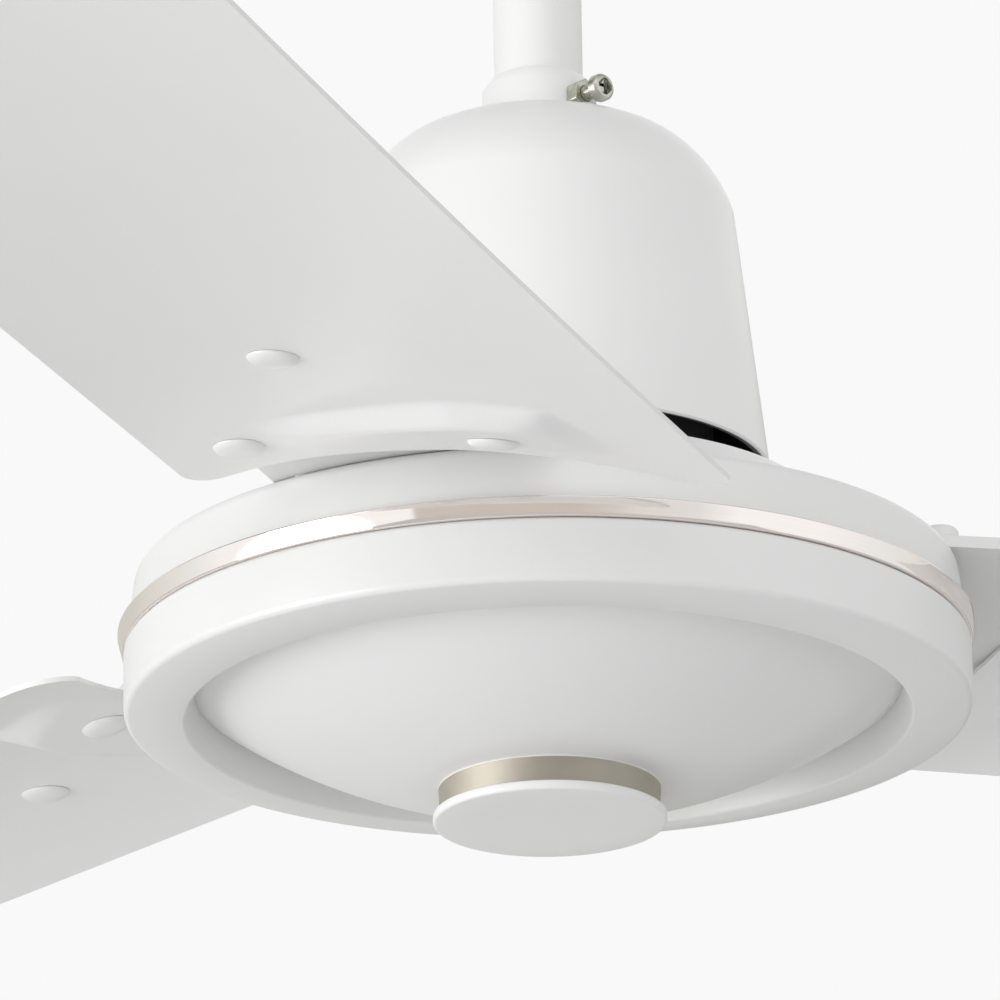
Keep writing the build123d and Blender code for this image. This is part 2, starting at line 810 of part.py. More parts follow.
def make_canopy_screw():
    """The screw that clamps a canopy, and the nut under its head."""
    level = canopy_height + canopy_screw_rise
    tip = rod_radius + canopy_gap
    length = collar_radius + canopy_screw_reach - tip
    screw = pan_screw(canopy_screw_radius, length, canopy_screw_head, canopy_screw_head_length)
    screw = Pos(tip + length, 0, level) * Rotation(0, 90, 0) * screw
    nut = Rotation(0, 90, 0) * hexagon(canopy_nut_across, canopy_nut_thickness)
    nut -= across(canopy_screw_radius + seat_gap, 0, 0, 0, 20.0, "X")
    nut = Pos(collar_radius + seat_gap + canopy_nut_thickness / 2, 0, level) * nut
    turn = Rotation(0, 0, canopy_screw_angle)
    return turn * screw, turn * nut


def place_lower(piece):
    return Pos(0, 0, lower_canopy_mouth_level) * piece


def place_upper(piece):
    return Pos(0, 0, ceiling_level) * Rotation(180, 0, 0) * piece


def make_shackle():
    inside = shackle_gap / 2
    outside = inside + shackle_strap
    roof = reel_bolt_level + reel_radius + shackle_top_gap
    height = roof + shackle_strap - shackle_bottom
    block = Pos(0, 0, shackle_bottom + height / 2) * Box(shackle_width, 2 * outside, height)
    top_edges = block.edges().filter_by(Axis.X).group_by(Axis.Z)[-1]
    block = fillet(top_edges, shackle_round)
    room_height = roof - shackle_bottom + 1.0
    room = Pos(0, 0, roof - room_height / 2) * Box(shackle_width + 2, 2 * inside, room_height)
    room_edges = room.edges().filter_by(Axis.X).group_by(Axis.Z)[-1]
    room = fillet(room_edges, shackle_round - shackle_strap)
    strap = block - room
    feet = strap.edges().filter_by(Axis.Y).group_by(Axis.Z)[0]
    strap = fillet(feet, 8.0)
    strap -= across(reel_bolt_radius + bolt_clearance, 0, 0, reel_bolt_level, drill_length, "Y")
    strap -= across(bolt_radius + bolt_clearance, 0, 0, rod_top - rod_top_bolt_inset, drill_length, "Y")
    return strap


def make_reel():
    half = reel_width / 2
    edge = half - reel_flange
    outline = [
        Line((reel_bolt_radius + slide_gap, -half), (reel_radius, -half)),
        Line((reel_radius, -half), (reel_radius, -edge)),
        ThreePointArc((reel_radius, -edge), (reel_groove, 0.0), (reel_radius, edge)),
        Line((reel_radius, edge), (reel_radius, half)),
        Line((reel_radius, half), (reel_bolt_radius + slide_gap, half)),
        Line((reel_bolt_radius + slide_gap, half), (reel_bolt_radius + slide_gap, -half)),
    ]
    reel = revolve(make_face(Plane.XZ * Curve(outline)), Axis.Z)
    return Pos(0, 0, reel_bolt_level) * Rotation(90, 0, 0) * reel


def make_bolt(radius, level, grip, head_across, nut_across, x=0.0):
    """A bolt across the fan along Y, its nut and its split pin."""
    head_height = radius * 1.3
    nut_height = radius * 1.6
    pin_reach = grip / 2 + nut_height + 3.0
    end = pin_reach + 3.5
    head = Pos(0, -grip / 2 - head_height / 2 - seat_gap, 0) * Rotation(90, 0, 0) * hexagon(head_across, head_height)
    stem = across(radius, 0, (end - grip / 2 - head_height / 2) / 2, 0, end + grip / 2 + head_height / 2, "Y")
    bolt = head + stem
    bolt -= across(split_pin_radius + bolt_clearance, 0, pin_reach, 0, 4 * radius, "X")
    nut = Rotation(90, 0, 0) * hexagon(nut_across, nut_height)
    nut -= across(radius + seat_gap, 0, 0, 0, 30.0, "Y")
    nut = Pos(0, grip / 2 + nut_height / 2 + seat_gap, 0) * nut
    pin = across(split_pin_radius, 0, pin_reach, 0, 2 * radius + 2 * split_pin_leg, "X")
    eye_place = Pos(radius + split_pin_leg + split_pin_eye - 0.4, pin_reach, 0) * Rotation(90, 0, 0)
    eye = eye_place * Torus(split_pin_eye, split_pin_radius + 0.12)
    pin = pin + eye
    place = Pos(x, 0, level)
    return place * bolt, place * nut, place * pin


# Wiring gear inside the lower canopy

def make_holder():
    floor = coupling_bottom - holder_wall - seat_gap
    seat = upper_bearing_bore / 2 + seat_gap
    cup = disc(holder_radius, floor, floor + holder_height, seat)
    cup -= disc(holder_radius - holder_wall, floor + holder_wall, floor + holder_height + 1.0)
    cup += disc(coupling_radius + 4.0, floor, floor + holder_wall, seat)
    return cup


def make_capacitor():
    base = coupling_bottom + seat_gap
    body = Pos(capacitor_offset, 0, base + capacitor_length / 2) * Box(
        capacitor_depth, capacitor_width, capacitor_length)
    return fillet(body.edges().filter_by(Axis.Z), 2.5)


def make_terminal_block():
    base = coupling_bottom + seat_gap
    centre = base + terminal_height / 2
    block = Pos(-terminal_offset, 0, centre) * Box(terminal_depth, terminal_length, terminal_height)
    pitch = terminal_length / 3
    for index in range(3):
        y = (index - 1) * pitch
        block -= across(1.8, -terminal_offset, y, base + 4.5, terminal_depth + 2, "X")
        block -= Pos(-terminal_offset, y, base + terminal_height) * Cylinder(2.2, 7.0)
        block -= Pos(-terminal_offset, y, base + terminal_height) * Cylinder(1.2 + seat_gap, 17.0)
    return block


def make_terminal_screws():
    base = coupling_bottom + seat_gap
    pitch = terminal_length / 3
    screw = pan_screw(1.2, 4.0, 1.9, 1.2)
    level = base + terminal_height - 3.4
    return [Pos(-terminal_offset, (index - 1) * pitch, level) * screw for index in range(3)]


def build_parts():
    """Every node's name and solids, in the motor's own heights."""
    parts = {}
    parts["shackle"] = make_shackle()
    parts["hook_reel"] = make_reel()
    grip = shackle_gap + 2 * shackle_strap
    parts["reel_bolt"], parts["reel_nut"], parts["reel_split_pin"] = make_bolt(
        reel_bolt_radius, reel_bolt_level, grip, reel_bolt_across, reel_bolt_across)
    parts["rod_top_bolt"], parts["rod_top_nut"], parts["rod_top_split_pin"] = make_bolt(
        bolt_radius, rod_top - rod_top_bolt_inset, grip, bolt_across, bolt_across)
    parts["rod_bottom_bolt"], parts["rod_bottom_nut"], parts["rod_bottom_split_pin"] = make_bolt(
        bolt_radius, rod_bottom + rod_bolt_inset, 2 * coupling_radius, bolt_across, bolt_across)

    canopy = make_canopy()
    screw, nut = make_canopy_screw()
    parts["upper_canopy"] = place_upper(canopy)
    parts["upper_canopy_screw"] = place_upper(screw)
    parts["upper_canopy_nut"] = place_upper(nut)
    parts["lower_canopy"] = place_lower(canopy)
    parts["lower_canopy_screw"] = place_lower(screw)
    parts["lower_canopy_nut"] = place_lower(nut)

    parts["downrod"] = make_rod()
    parts["motor_shaft"] = make_shaft()
    parts["wiring_holder"] = make_holder()
    parts["capacitor"] = make_capacitor()
    parts["terminal_block"] = make_terminal_block()
    parts["terminal_screws"] = make_terminal_screws()
    parts["stator_core"] = make_stator_core()
    parts["stator_coils"] = make_coils()

    lower = make_bearing(lower_bearing_level, lower_bearing_bore, lower_bearing_outside, lower_bearing_width)
    upper = make_bearing(upper_bearing_level, upper_bearing_bore, upper_bearing_outside, upper_bearing_width)
    for name, bearing in (("lower_bearing", lower), ("upper_bearing", upper)):
        parts[name + "_inner_race"] = bearing[0]
        parts[name + "_outer_race"] = bearing[1]
        parts[name + "_balls"] = bearing[2]
    parts["holder_circlip"] = make_circlip(
        coupling_bottom - holder_wall - 2 * seat_gap - circlip_thickness,
        upper_bearing_bore / 2, upper_bearing_bore / 2 + 3.0, 50.0)
    parts["shaft_circlip"] = make_circlip(
        lower_bearing_level - circlip_thickness - seat_gap, lower_bearing_bore / 2, lower_bearing_bore / 2 + 2.6, 50.0)

    parts["rotor_core"] = make_rotor_core()
    parts["rotor_cage"] = make_rotor_cage()
    parts["top_cover"] = make_top_cover()
    parts["bottom_cover"] = make_bottom_cover()
    parts["cover_screws"] = make_cover_screws()
    parts["trim_ring"] = make_trim_ring()
    parts["skirt"] = make_skirt()
    parts["end_cap"] = make_end_cap()

    blade = make_blade()
    shank = make_shank()
    rivets = [make_rivet(reach, side) for reach, side in rivet_places()]
    screw = pan_screw(shank_screw_radius, shank_screw_length, shank_screw_head, shank_screw_head_height)
    head_seat = ledge_level + shank_thickness + washer_thickness + seat_gap
    screws = []
    washers = []
    for side in (-shank_screw_side, shank_screw_side):
        washer = disc(washer_radius, 0, washer_thickness, shank_screw_radius + bolt_clearance)
        screws.append(Pos(shank_screw_reach, side, head_seat) * screw)
        washers.append(Pos(shank_screw_reach, side, ledge_level + shank_thickness + seat_gap / 2) * washer)
    for index in range(blade_count):
        turn = Rotation(0, 0, 360.0 * index / blade_count)
        number = str(index + 1)
        parts["blade_" + number] = turn * blade
        parts["blade_shank_" + number] = turn * shank
        parts["blade_rivets_" + number] = [turn * rivet for rivet in rivets]
    turns = [Rotation(0, 0, 360.0 * index / blade_count) for index in range(blade_count)]
    parts["shank_screws"] = [turn * screw for turn in turns for screw in screws]
    parts["shank_washers"] = [turn * washer for turn in turns for washer in washers]
    return parts


def write_parts(parts):
    drop = Pos(0, 0, -hook_seat_level)
    for name, solids in parts.items():
        pieces = solids if isinstance(solids, list) else [solids]
        placed = [drop * piece for piece in pieces]
        whole = placed[0] if len(placed) == 1 else Compound(children=placed)
        export_step(whole, "parts/" + name + ".step")


write_parts(build_parts())
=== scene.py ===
import json
import math

import bmesh
import bpy
from mathutils import Matrix, Vector


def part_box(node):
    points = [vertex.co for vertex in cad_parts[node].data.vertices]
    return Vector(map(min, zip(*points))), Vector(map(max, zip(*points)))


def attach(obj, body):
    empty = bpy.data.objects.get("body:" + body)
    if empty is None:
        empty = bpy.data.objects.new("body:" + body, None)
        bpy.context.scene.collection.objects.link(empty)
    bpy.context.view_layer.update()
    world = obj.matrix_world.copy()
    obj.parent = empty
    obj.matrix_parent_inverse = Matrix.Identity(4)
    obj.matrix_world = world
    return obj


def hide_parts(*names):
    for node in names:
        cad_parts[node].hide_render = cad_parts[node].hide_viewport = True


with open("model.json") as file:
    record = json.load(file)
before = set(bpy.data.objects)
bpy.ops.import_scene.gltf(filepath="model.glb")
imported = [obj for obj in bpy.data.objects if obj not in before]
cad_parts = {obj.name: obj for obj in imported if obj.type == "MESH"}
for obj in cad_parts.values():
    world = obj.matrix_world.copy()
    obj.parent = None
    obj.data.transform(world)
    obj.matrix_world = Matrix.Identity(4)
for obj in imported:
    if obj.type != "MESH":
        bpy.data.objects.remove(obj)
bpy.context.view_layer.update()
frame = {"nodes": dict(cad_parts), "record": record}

mm = 0.001
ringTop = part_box("trim_ring")[1].z  # heights below are measured from the bright ring's top edge
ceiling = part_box("upper_canopy")[1].z
print("frame loaded, ring top at", round(ringTop, 4))


# Finishes. Each one is a small node tree on Object coordinates.

def startFinish(name, metallic, roughness):
    finish = bpy.data.materials.new(name)
    finish.use_nodes = True
    nodes = finish.node_tree.nodes
    shader = nodes["Principled BSDF"]
    shader.inputs["Metallic"].default_value = metallic
    shader.inputs["Roughness"].default_value = roughness
    coords = nodes.new("ShaderNodeTexCoord")
    return finish, nodes, finish.node_tree.links, shader, coords


def addNoise(nodes, links, coords, scale, detail=3.0, stretch=(1, 1, 1)):
    mapping = nodes.new("ShaderNodeMapping")
    mapping.inputs["Scale"].default_value = stretch
    noise = nodes.new("ShaderNodeTexNoise")
    noise.inputs["Scale"].default_value = scale
    noise.inputs["Detail"].default_value = detail
    links.new(coords.outputs["Object"], mapping.inputs["Vector"])
    links.new(mapping.outputs["Vector"], noise.inputs["Vector"])
    return noise


def addTone(nodes, links, noise, shader, dark, light, low=0.35, high=0.65):
    ramp = nodes.new("ShaderNodeValToRGB")
    ramp.color_ramp.elements[0].position = low
    ramp.color_ramp.elements[1].position = high
    ramp.color_ramp.elements[0].color = (*dark, 1)
    ramp.color_ramp.elements[1].color = (*light, 1)
    links.new(noise.outputs["Fac"], ramp.inputs["Fac"])
    links.new(ramp.outputs["Color"], shader.inputs["Base Color"])


def addRoughness(nodes, links, noise, shader, smooth, rough):
    spread = nodes.new("ShaderNodeMapRange")
    spread.inputs["To Min"].default_value = smooth
    spread.inputs["To Max"].default_value = rough
    links.new(noise.outputs["Fac"], spread.inputs["Value"])
    links.new(spread.outputs["Result"], shader.inputs["Roughness"])


def addBump(nodes, links, noise, shader, strength, depth):
    bump = nodes.new("ShaderNodeBump")
    bump.inputs["Strength"].default_value = strength
    bump.inputs["Distance"].default_value = depth
    links.new(noise.outputs["Fac"], bump.inputs["Height"])
    links.new(bump.outputs["Normal"], shader.inputs["Normal"])


def makeEnamel(name, colour, gloss):
    # sprayed enamel: a faint orange peel, and tone and gloss that drift a little
    finish, nodes, links, shader, coords = startFinish(name, 0.0, gloss)
    drift = addNoise(nodes, links, coords, scale=9.0)
    sheen = addNoise(nodes, links, coords, scale=26.0)
    peel = addNoise(nodes, links, coords, scale=420.0, detail=1.0)
    addTone(nodes, links, drift, shader, [c * 0.985 for c in colour], colour)
    addRoughness(nodes, links, sheen, shader, smooth=gloss - 0.04, rough=gloss + 0.06)
    addBump(nodes, links, peel, shader, strength=0.12, depth=0.00012)
    shader.inputs["Coat Weight"].default_value = 0.15
    shader.inputs["Coat Roughness"].default_value = 0.2
    return finish


def makeMoulded(name, colour, gloss, grain=0.05):
    # moulded plastic: smooth, with a very fine grain from the tool
    finish, nodes, links, shader, coords = startFinish(name, 0.0, gloss)
    drift = addNoise(nodes, links, coords, scale=14.0)
    sheen = addNoise(nodes, links, coords, scale=60.0)
    toolGrain = addNoise(nodes, links, coords, scale=1400.0, detail=2.0)
    addTone(nodes, links, drift, shader, [c * 0.98 for c in colour], colour)
    addRoughness(nodes, links, sheen, shader, smooth=gloss - 0.03, rough=gloss + 0.05)
    addBump(nodes, links, toolGrain, shader, strength=grain, depth=0.00008)
    return finish


def makePolished(name, colour, shade, roughness):
    # plated or polished metal with faint polishing marks round the fan's axis
    finish, nodes, links, shader, coords = startFinish(name, 1.0, roughness)
    marks = addNoise(nodes, links, coords, scale=60.0, detail=4.0, stretch=(1, 1, 40))
    addTone(nodes, links, marks, shader, shade, colour)
    addRoughness(nodes, links, marks, shader, roughness * 0.8, roughness * 1.3)
    addBump(nodes, links, marks, shader, strength=0.03, depth=0.00005)
    return finish


def makeSteel(name, colour, roughness, scale=220.0, shade=0.82):
    # zinc-plated or ground steel with small blotches
    finish, nodes, links, shader, coords = startFinish(name, 1.0, roughness)
    blotch = addNoise(nodes, links, coords, scale, detail=5.0)
    addTone(nodes, links, blotch, shader, [c * shade for c in colour], colour)
    addRoughness(nodes, links, blotch, shader, roughness * 0.8, roughness * 1.25)
    addBump(nodes, links, blotch, shader, strength=0.08, depth=0.00006)
    return finish


def addWaves(nodes, links, coords, scale, distortion):
    # level bands, stacked along the fan's axis
    waves = nodes.new("ShaderNodeTexWave")
    waves.wave_type = "BANDS"
    waves.bands_direction = "Z"
    waves.inputs["Scale"].default_value = scale
    waves.inputs["Distortion"].default_value = distortion
    links.new(coords.outputs["Object"], waves.inputs["Vector"])
    return waves


def makeLaminated(name, dark, light):
    # stacked thin sheets, seen on edge
    finish, nodes, links, shader, coords = startFinish(name, 0.85, 0.45)
    sheets = addWaves(nodes, links, coords, scale=320.0, distortion=0.4)
    addTone(nodes, links, sheets, shader, dark, light, low=0.2, high=0.8)
    addBump(nodes, links, sheets, shader, strength=0.4, depth=0.0001)
    return finish


def makeWound(name, dark, light):
    # enamelled wire laid side by side
    finish, nodes, links, shader, coords = startFinish(name, 0.75, 0.3)
    wires = addWaves(nodes, links, coords, scale=260.0, distortion=0.8)
    addTone(nodes, links, wires, shader, dark, light, low=0.1, high=0.9)
    addBump(nodes, links, wires, shader, strength=0.6, depth=0.0002)
    return finish


def makeRubber(name, colour):
    # black rubber with a greyish bloom
    finish, nodes, links, shader, coords = startFinish(name, 0.0, 0.62)
    bloom = addNoise(nodes, links, coords, scale=130.0, detail=4.0)
    addTone(nodes, links, bloom, shader, colour, [c * 1.7 for c in colour])
    addBump(nodes, links, bloom, shader, strength=0.15, depth=0.0002)
    return finish


finishes = {
    "white_enamel": makeEnamel("whiteEnamel", (0.80, 0.80, 0.795), 0.32),
    "blade_enamel": makeEnamel("bladeEnamel", (0.865, 0.865, 0.86), 0.36),
    "white_plastic": makeMoulded("whitePlastic", (0.84, 0.84, 0.835), 0.30),
    "bright_ring": makePolished("roseGoldPlate", (0.96, 0.90, 0.87), (0.94, 0.88, 0.84), 0.05),
    "zinc_steel": makeSteel("zincSteel", (0.66, 0.66, 0.58), 0.26, scale=260.0, shade=0.76),
    "shaft_steel": makeSteel("groundSteel", (0.60, 0.61, 0.63), 0.25, scale=90.0),
    "laminated_steel": makeLaminated("laminatedSteel", (0.12, 0.12, 0.13), (0.42, 0.43, 0.45)),
    "copper_winding": makeWound("copperWinding", (0.30, 0.09, 0.03), (0.72, 0.30, 0.12)),
    "cast_aluminium": makeSteel("castAluminium", (0.66, 0.67, 0.68), 0.42, scale=500.0),
    "reel_rubber": makeRubber("reelRubber", (0.028, 0.028, 0.03)),
    "black_plastic": makeMoulded("blackPlastic", (0.045, 0.045, 0.05), 0.42, grain=0.1),
    "brass_screws": makeSteel("brassScrews", (0.75, 0.58, 0.28), 0.28),
    # the hub's dark brown is painted shade, standing in for the shade between the dish and the cap
    "oiled_hub": makeSteel("oiledHub", (0.52, 0.48, 0.41), 0.55, scale=60.0),
}
slotOfNode = {part["node"]: part["material_slot"] for part in frame["record"]["subparts"]}
for node, solid in frame["nodes"].items():
    solid.data.materials.clear()
    solid.data.materials.append(finishes[slotOfNode[node]])
print("finishes made:", len(finishes))


# Making pieces

def bodyOf(node):
    return next(body for body, nodes in frame["record"]["behaviour"]["bodies"].items() if node in nodes)


def finishPiece(mesh, name, node, sharpAngle=32.0, finish=None):
    # a mesh becomes a piece that stands for a CAD node, with its body and its finish
    finish = finish or slotOfNode[node]
    mesh.shade_smooth()
    mesh.set_sharp_from_angle(angle=math.radians(sharpAngle))
    piece = bpy.data.objects.new(name, mesh)
    bpy.context.scene.collection.objects.link(piece)
    mesh.materials.append(finishes[finish])
    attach(piece, bodyOf(node))
    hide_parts(node)
    return piece


def softenEdges(piece, width):
    bevel = piece.modifiers.new("softEdges", "BEVEL")
    bevel.width = width
    bevel.segments = 2
    bevel.limit_method = "ANGLE"
    bevel.angle_limit = math.radians(35.0)


def meshFrom(bm, name):
    mesh = bpy.data.meshes.new(name)
    bm.to_mesh(mesh)
    bm.free()
    return mesh


def arc(centreRadius, centreHeight, radius, fromAngle, toAngle, count):
    # points (radius, height) on a rounding, angles in degrees from the outward direction
    turns = [math.radians(fromAngle + (toAngle - fromAngle) * i / count) for i in range(count + 1)]
    return [(centreRadius + radius * math.cos(t), centreHeight + radius * math.sin(t)) for t in turns]


def arcThrough(start, middle, end, count):
    # points on the circle through three (radius, height) places
    a, b, c = (Vector((*place, 0)) for place in (start, middle, end))
    turn = (b - a).cross(c - a).z
    across = (b - a).length_squared * (c - a) - (c - a).length_squared * (b - a)
    centre = a + Vector((across.y, -across.x, 0)) / (2 * turn)
    first = math.atan2(a.y - centre.y, a.x - centre.x)
    last = math.atan2(c.y - centre.y, c.x - centre.x)
    radius = (a - centre).length
    return arc(centre.x, centre.y, radius, math.degrees(first), math.degrees(last), count)


def turned(outline, base, steps, flip=False):
    # spins a closed outline, in millimetres above base or, flipped, below it, round the fan's axis
    bm = bmesh.new()
    sign = -1 if flip else 1
    verts = [bm.verts.new((r * mm, 0, base + sign * z * mm)) for r, z in outline]
    edges = [bm.edges.new(pair) for pair in zip(verts, verts[1:] + verts[:1])]
    bmesh.ops.spin(bm, geom=verts + edges, axis=(0, 0, 1), angle=2 * math.pi, steps=steps, use_merge=True)
    bmesh.ops.remove_doubles(bm, verts=bm.verts, dist=1e-7)
    bmesh.ops.recalc_face_normals(bm, faces=bm.faces)
    return meshFrom(bm, "turned")


def merged(node, name, width, finish=None):
    # a CAD node's shape as one clean skin, with its edges softened
    bm = bmesh.new()
    bm.from_mesh(frame["nodes"][node].data)
    bmesh.ops.remove_doubles(bm, verts=bm.verts, dist=2e-6)
    bmesh.ops.dissolve_limit(bm, angle_limit=math.radians(0.5), verts=bm.verts, edges=bm.edges)
    softenEdges(finishPiece(meshFrom(bm, name), name, node, finish=finish), width)


# Motor casing: radii, and heights from the bright ring's top edge, in millimetres

axisRadius = 0.0005  # an outline that ends at the axis stops this near it

trimRing = {
    "radius": 106.0, "height": 4.8, "inside": 103.45, "edge": 0.35, "lean": 1.0, "leanAngle": 12,
    "lipInside": 102.2, "lipTop": -2.55,
}


def ringOutline(r):
    # a flat bright face that leans in a little, with small roundings, and the lip that hooks under the wall
    edge, bottom = r["edge"], -r["height"]
    top = [(r["inside"], 0.0)] + arc(r["radius"] - edge, -edge, edge, 90, -r["leanAngle"], 4)
    low = arc(r["radius"] - r["lean"] - edge, bottom + edge, edge, -r["leanAngle"], -90, 4)
    return top + low + [(r["lipInside"], bottom), (r["lipInside"], r["lipTop"]), (r["inside"], r["lipTop"])]


motorTop = {
    "foot": -2.5, "footInside": 99.8, "wallRadius": 103.4, "wallTop": 1.0, "shoulderRadius": 102.0,
    "shoulderRound": 3.0, "ledge": 14.6, "ledgeInner": 84.0,
    "crownRadius": 68.0, "crown": 31.0, "crownRound": 4.0, "crownInset": 1.73, "crownDrop": 3.96,
    "crownTurn": (44.3, 88.5),
    "hub": ((29.0, 32.0), (25.0, 35.0), (25.0, 36.0), (16.0, 36.0)),
    "bearingSeat": ((16.0, 32.0), (20.0, 32.0), (20.0, 20.0), (25.0, 20.0)),
    "inside": ((27.0, 29.5), (67.0, 28.5), (83.0, 12.1), (92.55, 12.1), (92.55, 2.0), (99.8, 2.0)),
}


def topOutline(t):
    # outside from the wall up to the hub, then inside from the bearing's seat down to the rotor's room
    wall = [(t["footInside"], t["foot"]), (t["wallRadius"], t["foot"]), (t["wallRadius"], t["wallTop"])]
    bend = t["shoulderRound"]
    shoulder = arc(t["shoulderRadius"] - bend, t["ledge"] - bend, bend, 0, 90, 8)
    rise = [(t["ledgeInner"], t["ledge"])]
    centre = (t["crownRadius"] - t["crownInset"], t["crown"] - t["crownDrop"])
    crown = arc(*centre, t["crownRound"], *t["crownTurn"], 6)
    return wall + shoulder + rise + crown + [*t["hub"], *t["bearingSeat"], *t["inside"]]


skirt = {
    "gap": 0.05, "radius": 104.6, "chamfer": 0.8, "bottom": -21.0, "inside": 102.4, "wall": 2.2, "round": 1.8,
    "fall": 8, "lipLevel": -22.8, "lipLean": 2.2, "lipSlant": 14, "lipWall": 1.6, "lipRound": 0.9,
    "lipRise": 0.95, "lapAside": 0.1, "lapUp": 0.5,
}


def skirtOutline(s, d):
    # the underside falls a little towards the dish and ends in a leaning lip that laps the dish's rim
    top, bend = -trimRing["height"] - s["gap"], s["round"]
    wall = [(s["radius"] - s["chamfer"], top), (s["radius"], top - s["chamfer"])]
    rim = arc(s["radius"] - bend, s["bottom"] + bend, bend, 0, s["fall"] - 90, 8)
    foot, lipTop = d["radius"] + s["lipLean"], d["rim"] + s["lapUp"]
    lipFrom, lipTo = -90 - s["fall"], s["lipSlant"] - 180
    lip = arc(foot + s["lipRound"], s["lipLevel"] + s["lipRise"], s["lipRound"], lipFrom, lipTo, 5)
    lip += [(d["radius"] - s["lapAside"], lipTop), (d["radius"] + s["lipWall"], lipTop)]
    inside = [(foot + s["lipWall"], s["lipLevel"] + s["wall"]), (s["inside"], s["bottom"] + s["wall"])]
    return wall + rim + lip + inside + [(s["inside"], top)]


dish = {
    "radius": 87.2, "rim": -14.6, "sphere": 150.0, "wall": 2.5, "backFrom": 22.0, "backSpan": 63.2,
    "bore": ((14.5, -33.0), (17.5, -33.0), (17.5, -22.0), (22.0, -22.0)),
    "roomRadius": 92.55, "roomFoot": -12.0, "flangeTop": -2.5, "flangeRadius": 102.1,
    "flangeInside": 88.2, "flangeRise": 1.5,
}
neck = {
    "radius": 27.4, "waist": 27.0, "bottom": -46.8, "drop": 0.3, "band": 0.25,
    "topLean": 0.2, "footGap": 0.05,
}


def onSphere(d, radius, reach):
    centre = d["rim"] + math.sqrt(d["sphere"] ** 2 - d["radius"] ** 2)
    return reach, centre - math.sqrt(radius ** 2 - reach ** 2)


def dishOutline(d, n):
    reaches = [d["radius"] + (n["radius"] - d["radius"]) * i / 24 for i in range(25)]
    bowl = [onSphere(d, d["sphere"], reach) for reach in reaches]
    core = [(n["radius"] - n["band"], bowl[-1][1] - n["drop"]), (n["waist"] - n["band"], n["bottom"])]
    bore = [(d["bore"][0][0], n["bottom"]), *d["bore"]]
    backReaches = [d["backFrom"] + d["backSpan"] * i / 12 for i in range(13)]
    back = [onSphere(d, d["sphere"] - d["wall"], reach) for reach in backReaches]
    room = [(d["roomRadius"], d["roomFoot"]), (d["roomRadius"], d["flangeTop"])]
    foot = d["rim"] + d["flangeRise"]
    flange = [(d["flangeRadius"], d["flangeTop"]), (d["flangeRadius"], foot), (d["flangeInside"], foot)]
    return bowl + core + bore + back + room + flange


def neckOutline(n, d):
    # the hub between the dish and the cap, as a thin band round the dish's core; its dark colour is painted
    # shade for the shaded hollow above the cap
    top = onSphere(d, d["sphere"], n["radius"])[1] - n["drop"]
    foot = n["bottom"] + n["footGap"]
    outer = [(n["radius"], top - n["topLean"]), (n["waist"], foot)]
    return outer + [(n["waist"] - n["band"], foot), (n["radius"] - n["band"], top)]


endCap = {
    "radius": 28.8, "thickness": 2.3, "upperRound": 0.5, "lowerRound": 0.8, "flatRadius": 20.0, "hollow": 0.5,
    "stemInside": 12.85, "stemRadius": 14.45, "stemHeight": 6.0,
}


def capOutline(c, top):
    face, hollow, stemTop = top - c["thickness"], top - c["hollow"], top + c["stemHeight"]
    upper, lower = c["upperRound"], c["lowerRound"]
    edge = arc(c["radius"] - upper, top - upper, upper, 90, 0, 4)
    edge += arc(c["radius"] - lower, face + lower, lower, 0, -90, 6)
    middle = [(c["flatRadius"], face), (axisRadius, face), (axisRadius, hollow), (c["stemInside"], hollow)]
    return edge + middle + [(c["stemInside"], stemTop), (c["stemRadius"], stemTop), (c["stemRadius"], top)]


finishPiece(turned(ringOutline(trimRing), ringTop, 256), "trimRing", "trim_ring", 40)
softenEdges(finishPiece(turned(topOutline(motorTop), ringTop, 224), "motorTop", "top_cover"), 0.0004)
softenEdges(finishPiece(turned(skirtOutline(skirt, dish), ringTop, 256), "skirt", "skirt"), 0.0003)
bowl = turned(dishOutline(dish, neck), ringTop, 224)
softenEdges(finishPiece(bowl, "bottomDish", "bottom_cover", 40), 0.0003)
# the neck band takes the painted shade finish
finishPiece(turned(neckOutline(neck, dish), ringTop, 160), "dishNeck", "bottom_cover", 40, "oiled_hub")
finishPiece(turned(capOutline(endCap, neck["bottom"]), ringTop, 160), "endCap", "end_cap", 40)
print("motor casing made")


# Rod and canopies

canopy = {
    "mouth": 55.9, "mouthHeight": 40.9, "mouthEdge": 0.5, "mouthBevel": 0.4, "wall": 1.2,
    "lip": 2.0, "lipHeight": 1.2, "lining": 0.45, "liningGap": 0.02, "liningFoot": 0.25,
    "shoulder": (48.3, 67.2), "upperBend": (43.9, 76.7), "bend": (34.9, 85.8), "domeBend": (25.0, 90.2),
    "neck": (14.2, 92.4), "domeFrom": 66.0, "domeSpan": 12.0, "sideThinning": 0.25,
    "collarRadius": 14.2, "collarTop": 104.1, "collarFillet": ((0.9, 0.02), (0.25, 0.3), (0.0, 0.9)),
    "collarChamfer": 3.0, "collarLean": 2.0, "rodHole": 11.2,
}


def canopySkin(c, inset):
    # radius and height up the bell's outside, or of a skin at a distance inside it
    line = [(c["mouth"], c["mouthEdge"]), c["shoulder"]]
    line += arcThrough(c["shoulder"], c["upperBend"], c["bend"], 12)[1:]
    line += arcThrough(c["bend"], c["domeBend"], c["neck"], 10)[1:-1]
    aside = inset * (1 - c["sideThinning"] * min(1.0, inset))
    skin = [line[0]]
    for radius, height in line[1:]:
        # the skin sinks where the bell bends over into its dome
        dome = min(1.0, max(0.0, (height - c["domeFrom"]) / c["domeSpan"]))
        skin.append((radius - aside, height - inset * dome))
    return skin


